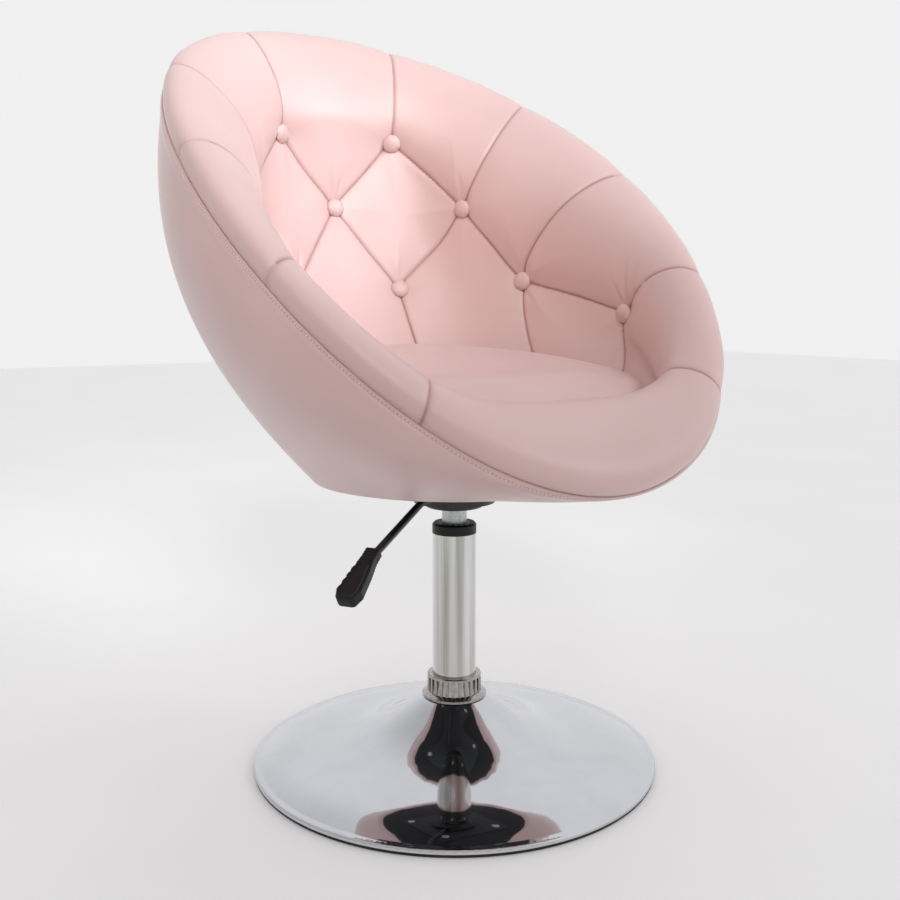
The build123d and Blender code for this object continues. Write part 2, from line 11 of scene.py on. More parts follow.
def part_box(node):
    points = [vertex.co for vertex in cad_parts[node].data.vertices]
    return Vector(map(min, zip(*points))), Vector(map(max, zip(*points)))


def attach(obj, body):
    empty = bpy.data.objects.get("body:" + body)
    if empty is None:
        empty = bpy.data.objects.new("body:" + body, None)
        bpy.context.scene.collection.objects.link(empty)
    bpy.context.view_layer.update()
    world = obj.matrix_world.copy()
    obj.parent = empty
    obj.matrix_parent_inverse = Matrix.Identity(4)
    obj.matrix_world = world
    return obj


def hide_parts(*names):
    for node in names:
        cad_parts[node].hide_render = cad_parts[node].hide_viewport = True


# Styling chair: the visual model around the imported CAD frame. Metres, +Z up, origin at the
# centre of the base's underside, the sitter faces -Y and their right hand is at -X.

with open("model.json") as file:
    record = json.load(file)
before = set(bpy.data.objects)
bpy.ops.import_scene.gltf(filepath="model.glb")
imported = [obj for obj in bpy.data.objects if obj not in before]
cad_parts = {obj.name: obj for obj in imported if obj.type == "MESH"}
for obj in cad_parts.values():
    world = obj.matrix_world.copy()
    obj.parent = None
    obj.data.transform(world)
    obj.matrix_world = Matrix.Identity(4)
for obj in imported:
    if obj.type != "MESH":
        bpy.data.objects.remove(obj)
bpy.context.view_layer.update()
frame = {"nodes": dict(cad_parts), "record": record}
nodes = frame["nodes"]
MM = 0.001

# ---------- bucket, as in the CAD, in millimetres ----------
RIM_HALF_WIDTH = 292.0
RIM_HALF_DEPTH = 324.0
RIM_CENTRE_Y = 46.0
RIM_MID_Z = 608.0
RIM_RISE = 255.0
RIM_LIFT = 52.0
RIM_SKEW = -16.0
RIM_EGG = -0.05
RIM_SQUARE = -0.018
ROLL_LIP = 15.0
ROLL_SHOULDER = 48.0
ROLL_CROWN = 81.0
BOTTOM_RADIUS = 156.0
BOTTOM_Z = 332.0
WALL_BULGE = 1.65
FRONT_FLATTENING = 0.8
FLOOR_RADIUS = 150.0
FLOOR_Y = 10.0
FLOOR_Z = 395.0
INNER_BULGE = 1.3

# ---------- upholstery, in millimetres ----------
# Places on the upholstery are (degrees round from the middle of the back, share): share 0 is
# the foot of the inner wall, 1 the inner edge of the rim roll and 2 the outer rim seam.
GRID_ROUND = 900
GRID_UP = 230
FACE_FOOT = 0.1
FACE_SAMPLES = 360
# the inner wall runs softly into the roll: width of the softening, and its cut-off, in samples
SOFT_WIDTH = 11.0
SOFT_SPAN = 26
BUTTON_PLACES = {
    "top_middle": (0.0, 0.7),
    "top": (24.8, 1.045),
    "shoulder": (59.5, 1.03),
    "low": (24.7, 0.445),
    "side": (88.6, 0.883),
    "arm": (116.2, 1.066),
}
ROLL_SEAMS = {"top": 22.0, "shoulder": 59.0, "side": 89.0, "arm": 117.0}
FRONT_SEAM = (144.8, 1.0)
SEAT_SEAMS = {"low": (28.0, 0.1), "side": (89.6, 0.1), "arm": (122.0, 0.3)}
WALL_SEAMS = (
    ("top_middle", "top"),
    ("top", "shoulder"),
    ("top_middle", "low"),
    ("low", "shoulder"),
    ("shoulder", "side"),
    ("side", "arm"),
)


def rim_point(angle, outward=0.0):
    """Outer rim seam, for an array of angles in radians, 90 degrees at the back."""
    side = np.sin(angle)
    plan = 1 + RIM_EGG * side + RIM_SQUARE * np.cos(2 * angle)
    arch = (RIM_LIFT + RIM_SKEW * side) * (1 - side**2)
    return np.stack(
        [
            (RIM_HALF_WIDTH + outward) * np.cos(angle) * plan,
            RIM_CENTRE_Y + (RIM_HALF_DEPTH + outward) * side,
            RIM_MID_Z + RIM_RISE * side * (1 + outward / RIM_HALF_DEPTH) + arch,
        ],
        axis=-1,
    )


def unit(vectors):
    """Vectors at length one."""
    return vectors / np.maximum(np.linalg.norm(vectors, axis=-1, keepdims=True), 1e-12)


def crown_point(angle, share):
    """Rim roll: `share` is 0 at the outer rim seam and 1 at the inner edge."""
    side = np.sin(angle)
    front = np.maximum(0.0, -side) ** 4
    width = 103 + 84 * side - 57 * side**2 + 148 * front
    drop = 117 + 37 * side - 120 * side**2 + 33 * front
    rest = 1 - share
    inward = (
        4 * rest**3 * share * -ROLL_LIP
        + 6 * rest**2 * share**2 * ROLL_CROWN
        + (4 * rest * share**3 + share**4) * width
    )
    up = (
        4 * rest**3 * share * ROLL_SHOULDER
        + 6 * rest**2 * share**2 * (23 + 5 * side + 7 * front)
        + 4 * rest * share**3 * (-31 + 5 * side + 58 * front)
        - share**4 * drop
    )
    seam = rim_point(angle)
    inward_way = unit(rim_point(angle, -10.0) - seam)
    up_way = unit(np.array([0.0, -RIM_RISE, RIM_HALF_DEPTH]))
    return seam + inward_way * inward[..., None] + up_way * up[..., None]


def inside_point(angle, share):
    """Inner wall: `share` is 0 at its foot and 1 at the inner edge of the roll."""
    seam = crown_point(angle, np.ones_like(share))
    swell = (share + INNER_BULGE * share * (1 - share))[..., None]
    foot = np.stack(
        [
            FLOOR_RADIUS * np.cos(angle),
            FLOOR_Y + FLOOR_RADIUS * np.sin(angle),
            np.full_like(angle, FLOOR_Z),
        ],
        axis=-1,
    )
    place = foot * (1 - swell) + seam * swell
    place[..., 2] = FLOOR_Z + (seam[..., 2] - FLOOR_Z) * share
    return place


def face_point(angle, share):
    """Inner wall up to share 1, then the rim roll up to share 2."""
    wall = inside_point(angle, np.minimum(share, 1.0))
    roll = crown_point(angle, np.clip(2 - share, 0.0, 1.0))
    return np.where((share <= 1)[..., None], wall, roll)


def outside_point(angle, share):
    """Outer face: `share` is 0 at the bottom edge and 1 at the outer rim seam."""
    seam = rim_point(angle)
    bulge = WALL_BULGE - FRONT_FLATTENING * np.maximum(0.0, -np.sin(angle)) ** 4
    swell = share + bulge * share * (1 - share)
    lean = share + share * (1 - share)
    return np.stack(
        [
            BOTTOM_RADIUS * np.cos(angle) * (1 - swell) + seam[..., 0] * swell,
            BOTTOM_RADIUS * np.sin(angle) * (1 - swell)
            + (seam[..., 1] - RIM_CENTRE_Y) * swell
            + RIM_CENTRE_Y * lean,
            BOTTOM_Z + (seam[..., 2] - BOTTOM_Z) * share,
        ],
        axis=-1,
    )


# ---------- mesh helpers ----------
def new_object(name, vertices, faces):
    """A mesh object from vertices in metres."""
    mesh = bpy.data.meshes.new(name)
    mesh.from_pydata([tuple(v) for v in vertices], [], faces)
    mesh.update()
    mesh.shade_smooth()
    obj = bpy.data.objects.new(name, mesh)
    bpy.context.scene.collection.objects.link(obj)
    return obj


def grid_faces(rows, columns):
    """Quads of a grid that closes on itself along its columns."""
    row, column = np.meshgrid(np.arange(rows - 1), np.arange(columns), indexing="ij")
    after = (column + 1) % columns
    corners = [
        row * columns + column,
        row * columns + after,
        (row + 1) * columns + after,
        (row + 1) * columns + column,
    ]
    return np.stack(corners, axis=-1).reshape(-1, 4).tolist()


def grid_normals(points):
    """Unit normals of a (rows, columns, 3) grid that closes along its columns."""
    along = np.roll(points, -1, axis=1) - np.roll(points, 1, axis=1)
    across = np.gradient(points, axis=0)
    return unit(np.cross(along, across))


def add_attribute(obj, name, values):
    """A float on each vertex, for the shader."""
    layer = obj.data.attributes.new(name, "FLOAT", "POINT")
    layer.data.foreach_set("value", np.asarray(values, dtype=np.float32).ravel())


def coordinates(obj):
    """Vertex coordinates as an array."""
    flat = np.empty(len(obj.data.vertices) * 3, dtype=np.float32)
    obj.data.vertices.foreach_get("co", flat)
    return flat.reshape(-1, 3).astype(float)


def set_coordinates(obj, places):
    """Moves the vertices of a mesh."""
    obj.data.vertices.foreach_set("co", places.astype(np.float32).ravel())
    obj.data.update()


# ---------- materials ----------
def colour(red, green, blue):
    """Linear colour from 0-255 screen values."""
    return tuple(((c / 255 + 0.055) / 1.055) ** 2.4 for c in (red, green, blue)) + (1.0,)


class Look:
    """A node material under construction, in object coordinates."""

    def __init__(self, name, roughness=0.5, metallic=0.0, **sockets):
        self.material = bpy.data.materials.new(name)
        self.material.use_nodes = True
        self.tree = self.material.node_tree
        self.shader = self.tree.nodes["Principled BSDF"]
        self.shader.inputs["Roughness"].default_value = roughness
        self.shader.inputs["Metallic"].default_value = metallic
        for socket, value in sockets.items():
            self.shader.inputs[socket.replace("_", " ")].default_value = value
        self.place = self.tree.nodes.new("ShaderNodeTexCoord").outputs["Object"]

    def link(self, output, target):
        self.tree.links.new(output, target)

    def noise(self, scale, detail=3.0, stretch=(1, 1, 1), roughness=0.5):
        """Noise value at `scale` features per metre."""
        mapping = self.tree.nodes.new("ShaderNodeMapping")
        mapping.inputs["Scale"].default_value = stretch
        self.link(self.place, mapping.inputs["Vector"])
        noise = self.tree.nodes.new("ShaderNodeTexNoise")
        noise.inputs["Scale"].default_value = scale
        noise.inputs["Detail"].default_value = detail
        noise.inputs["Roughness"].default_value = roughness
        self.link(mapping.outputs["Vector"], noise.inputs["Vector"])
        return noise.outputs["Fac"]

    def cells(self, scale, feature="DISTANCE_TO_EDGE"):
        """Distance to the edges of cells, `scale` cells per metre."""
        cells = self.tree.nodes.new("ShaderNodeTexVoronoi")
        cells.feature = feature
        cells.inputs["Scale"].default_value = scale
        self.link(self.place, cells.inputs["Vector"])
        return cells.outputs["Distance"]

    def wave(self, scale, direction="X"):
        """Even bands, for woven and brushed surfaces."""
        wave = self.tree.nodes.new("ShaderNodeTexWave")
        wave.bands_direction = direction
        wave.inputs["Scale"].default_value = scale
        self.link(self.place, wave.inputs["Vector"])
        return wave.outputs["Fac"]

    def attribute(self, name):
        node = self.tree.nodes.new("ShaderNodeAttribute")
        node.attribute_name = name
        return node.outputs["Fac"]

    def ramp(self, value, *stops):
        """Colour ramp through (position, colour) stops."""
        ramp = self.tree.nodes.new("ShaderNodeValToRGB")
        elements = ramp.color_ramp.elements
        elements[0].position, elements[0].color = stops[0]
        elements[1].position, elements[1].color = stops[-1]
        for position, stop_colour in stops[1:-1]:
            elements.new(position).color = stop_colour
        self.link(value, ramp.inputs["Fac"])
        return ramp.outputs["Color"]

    def fit(self, value, low, high, start=0.0, end=1.0):
        """Value moved from start..end to low..high."""
        node = self.tree.nodes.new("ShaderNodeMapRange")
        node.inputs["From Min"].default_value = start
        node.inputs["From Max"].default_value = end
        node.inputs["To Min"].default_value = low
        node.inputs["To Max"].default_value = high
        self.link(value, node.inputs["Value"])
        return node.outputs["Result"]

    def math(self, operation, first, second):
        node = self.tree.nodes.new("ShaderNodeMath")
        node.operation = operation
        for socket, value in zip(node.inputs, (first, second)):
            if isinstance(value, (int, float)):
                socket.default_value = value
            else:
                self.link(value, socket)
        return node.outputs["Value"]

    def mix(self, share, first, second):
        """Colour mix from `first` at share 0 to `second` at share 1."""
        node = self.tree.nodes.new("ShaderNodeMix")
        node.data_type = "RGBA"
        self.link(share, node.inputs["Factor"])
        for socket, value in ((node.inputs[6], first), (node.inputs[7], second)):
            if isinstance(value, tuple):
                socket.default_value = value
            else:
                self.link(value, socket)
        return node.outputs[2]

    def base(self, output):
        self.link(output, self.shader.inputs["Base Color"])

    def rough(self, output):
        self.link(output, self.shader.inputs["Roughness"])

    def bump(self, *heights):
        """Bumps from (height output, strength, distance) in turn."""
        normal = None
        for height, strength, distance in heights:
            node = self.tree.nodes.new("ShaderNodeBump")
            node.inputs["Strength"].default_value = strength
            node.inputs["Distance"].default_value = distance
            self.link(height, node.inputs["Height"])
            if normal is not None:
                self.link(normal, node.inputs["Normal"])
            normal = node.outputs["Normal"]
        self.link(normal, self.shader.inputs["Normal"])


def leather_look():
    """Pearly pink coated leather with a fine pebble grain, and painted shade darkening its
    creases.
    """
    look = Look("pink_leather", 0.42, Sheen_Weight=0.25, Sheen_Roughness=0.35,
                Coat_Weight=0.75, Coat_Roughness=0.5)
    tone = look.noise(5.0, 2.0)
    skin = look.ramp(tone, (0.3, colour(203, 170, 166)), (0.7, colour(211, 178, 174)))
    # painted shade: a vertex attribute darkens the colour along the seams, the button rims and the
    # stitch groove
    deep = look.mix(look.attribute("crease_shade"), skin, colour(156, 102, 100))
    grain = look.cells(900.0)
    pores = look.noise(1500.0, 2.0)
    look.base(look.mix(look.fit(grain, 0.12, 0.0, 0.0, 0.12), deep, colour(188, 148, 146)))
    look.rough(look.fit(look.noise(40.0, 4.0), 0.36, 0.48))
    look.bump((look.fit(grain, 0.0, 1.0, 0.0, 0.25), 0.16, 0.0004), (pores, 0.06, 0.0003))
    return look.material


def thread_look():
    look = Look("pink_thread", 0.6, Sheen_Weight=0.3)
    twist = look.noise(1800.0, 1.0)
    look.base(look.ramp(twist, (0.35, colour(214, 188, 182)), (0.65, colour(240, 222, 215))))
    look.bump((twist, 0.4, 0.0004))
    return look.material


def chrome_look():
    look = Look("chrome", 0.04, 1.0)
    haze = look.noise(14.0, 5.0, roughness=0.6)
    look.base(look.ramp(haze, (0.3, colour(203, 205, 210)), (0.7, colour(212, 214, 219))))
    look.rough(look.fit(haze, 0.03, 0.07, 0.3, 0.7))
    look.bump((look.noise(3.0, 1.0), 0.04, 0.002))
    return look.material


def drawn_chrome_look():
    """Chromed drawn tube, with painted reflections as faint light and dark streaks along it."""
    look = Look("drawn_chrome", 0.05, 1.0)
    # painted reflections: light and dark streaks along the tube, in its colour
    streaks_and_painted_reflections = look.noise(70.0, 3.0, (1, 1, 0.02), 0.6)
    look.base(look.ramp(streaks_and_painted_reflections, (0.3, colour(162, 161, 154)), (0.46, colour(206, 206, 202)),
                        (0.7, colour(232, 233, 238))))
    look.rough(look.fit(streaks_and_painted_reflections, 0.03, 0.12, 0.3, 0.7))
    look.bump((look.noise(3.0, 1.0), 0.04, 0.002))
    return look.material


def metal_look(name, dark, light, roughness, stretch=(1, 1, 1), scale=300.0):
    """Bare or plated metal with fine streaks."""
    look = Look(name, roughness, 1.0)
    streaks_and_painted_reflections = look.noise(scale, 4.0, stretch)
    look.base(look.ramp(streaks_and_painted_reflections, (0.3, dark), (0.7, light)))
    look.rough(look.fit(streaks_and_painted_reflections, roughness - 0.08, roughness + 0.1))
    look.bump((streaks_and_painted_reflections, 0.08, 0.0003))
    return look.material


def paint_look(name, dark, light, roughness, grain, strength, **sockets):
    """Paint, moulded plastic or rubber with a fine texture."""
    look = Look(name, roughness, **sockets)
    speckle = look.noise(grain, 3.0)
    wear = look.noise(22.0, 5.0)
    look.base(look.ramp(wear, (0.3, dark), (0.75, light)))
    look.rough(look.fit(speckle, roughness - 0.07, roughness + 0.09))
    look.bump((speckle, strength, 0.0003))
    return look.material


def plywood_look():
    look = Look("plywood", 0.62)
    figure = look.noise(9.0, 6.0, (1, 9, 60))
    look.base(look.ramp(figure, (0.3, colour(176, 134, 88)), (0.5, colour(205, 168, 118)),
                        (0.7, colour(222, 190, 142))))
    look.bump((figure, 0.25, 0.0006))
    return look.material


def foam_look():
    look = Look("foam", 0.95)
    holes = look.cells(700.0, "F1")
    look.base(look.ramp(holes, (0.1, colour(196, 178, 120)), (0.6, colour(232, 218, 168))))
    look.bump((holes, 0.6, 0.0008))
    return look.material


def dust_cloth_look():
    look = Look("dust_cloth", 0.9, Sheen_Weight=0.2)
    weave = look.math("MULTIPLY", look.wave(420.0), look.wave(420.0, "Y"))
    look.base(look.ramp(weave, (0.05, colour(18, 18, 19)), (0.5, colour(44, 44, 46))))
    look.bump((weave, 0.6, 0.0004))
    return look.material


LEATHER = leather_look()
THREAD = thread_look()
BLACK_PLASTIC = paint_look("black_plastic", colour(14, 14, 15), colour(24, 24, 26), 0.4, 900.0,
                           0.14, Specular_IOR_Level=0.3)
LOOKS = {
    "chrome": chrome_look(),
    "steel": metal_look("steel", colour(160, 162, 166), colour(196, 198, 202), 0.24,
                        (1, 1, 0.03), 200.0),
    "zinc_steel": metal_look("zinc_steel", colour(168, 170, 172), colour(206, 208, 210), 0.36),
    "black_steel": paint_look("black_steel", colour(16, 16, 17), colour(30, 30, 32), 0.38,
                              600.0, 0.2, Coat_Weight=0.2),
    "black_plastic": BLACK_PLASTIC,
    "white_plastic": paint_look("white_plastic", colour(222, 221, 216), colour(238, 237, 233),
                                0.42, 700.0, 0.1),
    "rubber": paint_look("rubber", colour(24, 24, 25), colour(40, 40, 41), 0.78, 500.0, 0.3),
    "plywood": plywood_look(),
    "foam": foam_look(),
    "leather": LEATHER,
    "dust_cloth": dust_cloth_look(),
    "cast_iron": metal_look("cast_iron", colour(50, 51, 54), colour(84, 85, 88), 0.6, scale=180.0),
}
for part in frame["record"]["subparts"]:
    cad_node = nodes[part["node"]]
    cad_node.data.materials.clear()
    cad_node.data.materials.append(LOOKS[part["material_slot"]])
nodes["column_tube"].data.materials[0] = drawn_chrome_look()
# the ribbed collar's chrome gets a darker colour: painted dark reflections and shade
nodes["trim_collar"].data.materials[0] = metal_look(
    "ribbed_chrome_painted_dark", colour(150, 146, 143), colour(190, 187, 184), 0.12
)


def finish_piece(obj, material, body, slot, *replaced):
    """Gives a piece its material, its body and the CAD nodes that it stands for."""
    obj.data.materials.append(material)
    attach(obj, body)
    if replaced:
        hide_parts(*replaced)


# ---------- upholstery: one skin from the seat's edge to the outer rim seam ----------
# depths and reaches of the sunk seams, the puffed panels between them and the button dimples
SHOULDER_DEPTH = 2.4
SHOULDER_REACH = 2.3
PUFF_DEPTH = 6.5
PUFF_REACH = 27.0
PANEL_LIFT = 4.0
DIMPLE_DEPTH = 6.5
DIMPLE_REACH = 16.0
# how far the puffing carries over onto the roll, and how near a vertex is drawn onto a seam
ROLL_SEAM_SHARE = 0.22
SNAP_DISTANCE = 1.1
CRISP_SHARE = 0.85  # least depth of a seam's own fold, as a share of SHOULDER_DEPTH
CREASE_SHADE_REACH = 1.1  # of the painted shade beside a seam
# the skin turns in at the outer rim seam; the roll's length turns a share into millimetres
EDGE_TUCK = 0.3
EDGE_TUCK_REACH = 1.6
ROLL_LENGTH = 140.0
# shares over which the panels' lift fades at the rim and at the foot
RIM_FADE = 0.06
FOOT_FADE = 0.2
RIPPLE = 0.35


def settled_face():
    """Face grid in millimetres with even rows, and the share of each grid point."""
    turn = np.linspace(0, 360, GRID_ROUND, endpoint=False)
    angle = np.radians(90 - turn)
    share = np.linspace(FACE_FOOT, 2.0, FACE_SAMPLES)
    angles, shares = np.meshgrid(angle, share)
    points = face_point(angles, shares)
    weights = np.exp(-0.5 * (np.arange(-SOFT_SPAN, SOFT_SPAN + 1) / SOFT_WIDTH) ** 2)
    weights /= weights.sum()
    before = np.repeat(points[:1], SOFT_SPAN, 0)
    after = np.repeat(points[-1:], SOFT_SPAN, 0)
    padded = np.concatenate([before, points, after])
    soft = sum(w * padded[i : i + FACE_SAMPLES] for i, w in enumerate(weights))
    hold = np.clip((2.0 - shares) / 0.25, 0, 1)[..., None]
    hold *= np.clip((shares - FACE_FOOT) / 0.1, 0, 1)[..., None]
    points = points * (1 - hold) + soft * hold
    steps = np.linalg.norm(np.diff(points, axis=0), axis=-1)
    length = np.concatenate([np.zeros((1, GRID_ROUND)), np.cumsum(steps, axis=0)])
    even = np.linspace(0, 1, GRID_UP)
    grid = np.empty((GRID_UP, GRID_ROUND, 3))
    grid_share = np.empty((GRID_UP, GRID_ROUND))
    for i in range(GRID_ROUND):
        run = even * length[-1, i]
        for axis in range(3):
            grid[:, i, axis] = np.interp(run, length[:, i], points[:, i, axis])
        grid_share[:, i] = np.interp(run, length[:, i], share)
    return grid, grid_share


face, face_share = settled_face()
face_normal = grid_normals(face)
if np.mean(face_normal[GRID_UP // 3, :, :2] * face[GRID_UP // 3, :, :2]) > 0:
    face_normal = -face_normal


def face_sample(grid, turn, share):
    """Value of a face grid at a place given in degrees round and share."""
    column = int(round((turn % 360) / 360 * GRID_ROUND)) % GRID_ROUND
    row = int(np.clip(np.searchsorted(face_share[:, column], share), 0, GRID_UP - 1))
    return grid[row, column]


def seam_places(first, last, count=120):
    """Places along a seam, evenly in degrees and share."""
    steps = np.linspace(0, 1, count)
    return [
        (first[0] + (last[0] - first[0]) * t, first[1] + (last[1] - first[1]) * t) for t in steps
    ]


SEAM_MARGIN = 12  # degrees searched on both sides of a wall seam's ends
SEAM_EVENING = 15  # places on both sides that a wall seam's place is averaged over


def wall_seam(first, last, count=120):
    """Places along the shortest seam between two buttons: the chord laid on the face."""
    start = face_sample(face, *first)
    end = face_sample(face, *last)
    low, high = sorted((first[0], last[0]))
    turns = np.linspace(0, 360, GRID_ROUND, endpoint=False)
    signed = np.where(turns > 180, turns - 360, turns)
    columns = np.where((signed >= low - SEAM_MARGIN) & (signed <= high + SEAM_MARGIN))[0]
    rows = np.arange(0, GRID_UP, 2)
    patch = face[np.ix_(rows, columns)]
    places = []
    for t in np.linspace(0, 1, count):
        spot = start + (end - start) * t
        gap = np.linalg.norm(patch - spot, axis=-1)
        row, column = np.unravel_index(gap.argmin(), gap.shape)
        places.append((signed[columns[column]], face_share[rows[row], columns[column]]))
    places = np.array(places)
    places[0], places[-1] = first, last
    ends = np.linspace(0, 1, count)[:, None]
    straight = np.array(first) * (1 - ends) + np.array(last) * ends
    kernel = np.ones(2 * SEAM_EVENING + 1) / (2 * SEAM_EVENING + 1)
    off = places - straight
    off = np.stack(
        [np.convolve(np.pad(off[:, k], SEAM_EVENING), kernel, "valid") for k in range(2)], -1
    )
    return [tuple(p) for p in straight + off * np.sin(np.pi * ends) ** 0.3]


def mirrored(places):
    """The same places on the other side of the bucket."""
    return [(-turn, share) for turn, share in places]


def roll_seam(name, seam_turn):
    """Places up a seam of the rim roll, easing from its button's angle to its own."""
    turn, share = BUTTON_PLACES[name]
    places = []
    for _, level in seam_places((0, share), (0, 2.0)):
        eased = 1 - (1 - (level - share) / (2 - share)) ** 2
        places.append((turn + (seam_turn - turn) * eased, level))
    return places


def all_seams():
    """Every seam of the skin, on both sides."""
    runs = [roll_seam(name, seam_turn) for name, seam_turn in ROLL_SEAMS.items()]
    runs.append(seam_places(FRONT_SEAM, (FRONT_SEAM[0], 2.0)))
    runs += [wall_seam(BUTTON_PLACES[first], BUTTON_PLACES[last]) for first, last in WALL_SEAMS]
    runs += [seam_places(BUTTON_PLACES[name], foot) for name, foot in SEAT_SEAMS.items()]
    return [side for run in runs for side in (run, mirrored(run))]


seams = all_seams()
buttons = []
for turn, share in BUTTON_PLACES.values():
    buttons.append((turn, share))
    if turn:
        buttons.append((-turn, share))


def places_on_face(places):
    """Smooth 3-D line through places on the face, in millimetres."""
    turns = np.array([p[0] for p in places])
    shares = np.array([p[1] for p in places])
    column = (turns % 360) / 360 * GRID_ROUND
    low = np.floor(column).astype(int)
    part = (column - low)[:, None]
    line = []
    for side in (low % GRID_ROUND, (low + 1) % GRID_ROUND):
        spots = [
            [np.interp(s, face_share[:, c], face[:, c, k]) for k in range(3)]
            for c, s in zip(side, shares)
        ]
        line.append(np.array(spots))
    return line[0] * (1 - part) + line[1] * part


def seam_lines():
    """All seams as dense points, with their strength: full on the wall, slight on the roll."""
    points, strengths = [], []
    for places in seams:
        line = places_on_face(places)
        steps = np.concatenate([[0], np.cumsum(np.linalg.norm(np.diff(line, axis=0), axis=1))])
        dense = np.arange(0, steps[-1], 0.5)
        points.append(np.stack([np.interp(dense, steps, line[:, k]) for k in range(3)], -1))
        shares = np.interp(dense, steps, [p[1] for p in places])
        fade = np.clip((shares - 1.08) / 0.35, 0, 1)
        strengths.append(1 - (1 - ROLL_SEAM_SHARE) * fade * fade * (3 - 2 * fade))
    return np.concatenate(points), np.concatenate(strengths)


def nearest(points, queries):
    """Distance and index of the nearest of `points` to each query."""
    tree = KDTree(len(points))
    for i, point in enumerate(points):
        tree.insert(point, i)
    tree.balance()
    distance = np.empty(len(queries))
    index = np.empty(len(queries), dtype=int)
    for i, query in enumerate(queries):
        _, found, gap = tree.find(query)
        distance[i] = gap
        index[i] = found
    return distance, index


# short pleats that run up from the buttons: button place, end place, depth in millimetres
PLEATS = (
    ((115.4, 1.1), (110.6, 1.2), 1.5),
    ((116.0, 1.12), (110.0, 1.36), 2.2),
    ((116.9, 1.12), (112.4, 1.44), 1.9),
    ((-1.4, 0.74), (-2.6, 0.84), 1.2),
    ((1.6, 0.74), (3.6, 0.83), 1.2),
    ((23.6, 1.02), (19.5, 0.92), 1.0),
    ((58.0, 1.07), (53.0, 1.17), 1.1),
    ((26.0, 0.49), (27.5, 0.57), 1.0),
    ((23.0, 0.49), (21.0, 0.58), 1.0),
    ((87.4, 0.93), (84.0, 1.04), 1.2),
    ((89.0, 0.84), (94.0, 0.76), 1.0),
)
PLEAT_WIDTH = 3.4
PLEAT_STEPS = 30
PLEAT_RANGE = 60.0  # points further from a pleat's middle are left out


def pleat_depth(points):
    """Depth in millimetres of the pleats at each point of the face."""
    depth = np.zeros(len(points))
    for start, end, deep in PLEATS:
        for side in (1, -1) if start[0] > 5 else (1,):
            run = [(side * t, s) for t, s in seam_places(start, end, PLEAT_STEPS)]
            line = places_on_face(run)
            middle = line[PLEAT_STEPS // 2]
            near = np.where(np.linalg.norm(points - middle, axis=1) < PLEAT_RANGE)[0]
            gap = np.linalg.norm(points[near, None] - line[None], axis=2)
            along = gap.argmin(1) / (PLEAT_STEPS - 1)
            taper = np.sin(pi * np.clip(0.12 + 0.88 * along, 0, 1)) ** 0.8
            depth[near] += deep * taper * np.exp(-((gap.min(1) / PLEAT_WIDTH) ** 2))
    return depth


def upholstery():
    """The tufted skin: puffed panels between sunk seams, dimples under the buttons."""
    points = face.reshape(-1, 3)
    normal = face_normal.reshape(-1, 3)
    seam_points, strengths = seam_lines()
    distance, index = nearest(seam_points, points)
    strength = strengths[index]
    snap = distance < SNAP_DISTANCE
    points = np.where(snap[:, None], seam_points[index], points)
    distance = np.where(snap, 0.0, distance)
    crisp = np.maximum(strength, CRISP_SHARE)
    height = -crisp * SHOULDER_DEPTH * np.exp(-distance / SHOULDER_REACH)
    height -= strength * PUFF_DEPTH * np.exp(-((distance / PUFF_REACH) ** 1.5))
    spots = np.array([face_sample(face, *place) for place in buttons])
    gap = np.linalg.norm(points[:, None] - spots[None], axis=2).min(1)
    height -= DIMPLE_DEPTH * np.exp(-((gap / DIMPLE_REACH) ** 1.4))
    height -= pleat_depth(points)
    ripple = np.sin(points[:, 0] / 31 + points[:, 2] / 23) + np.sin(
        points[:, 1] / 27 - points[:, 2] / 37 + 1.3
    )
    height += RIPPLE * ripple
    share = face_share.reshape(-1)
    rim = np.clip((2.0 - share) / RIM_FADE, 0, 1)
    foot = np.clip((share - FACE_FOOT) / FOOT_FADE, 0, 1)
    lift = PANEL_LIFT * (0.6 + 0.4 * rim * rim * (3 - 2 * rim)) * foot
    lift *= 1 - 0.6 * np.clip((share - 1.0) / 0.5, 0, 1)
    tuck = EDGE_TUCK * np.exp(-np.clip(2.0 - share, 0, 1) * ROLL_LENGTH / EDGE_TUCK_REACH)
    height = height * np.clip(rim * 3, 0, 1) + lift - tuck
    skin = points + normal * height[:, None]
    obj = new_object("tufted_upholstery", skin * MM, grid_faces(GRID_UP, GRID_ROUND))
    # painted shade along every seam, strongest in its fold
    add_attribute(obj, "crease_shade", crisp * np.exp(-distance / CREASE_SHADE_REACH))
    return obj, skin.reshape(face.shape)


skin_piece, skin = upholstery()
finish_piece(
    skin_piece, LEATHER, "seat", "leather", "tufted_padding", "front_padding",
    *[name for name in nodes if name.startswith("rim_roll_")],
)

# ---------- covered buttons ----------
# half section of a covered button: radius and height from its rim, in millimetres
BUTTON_OUTLINE = (
    (11.6, -4.0), (12.0, -0.8), (11.8, 0.4), (11.0, 1.7), (9.3, 3.1), (7.0, 4.2), (4.4, 4.9),
    (1.8, 5.25), (0.05, 5.3),
)
BUTTON_STEPS = 40
BUTTON_STAND = 6.6  # its rim above the bottom of the dimple


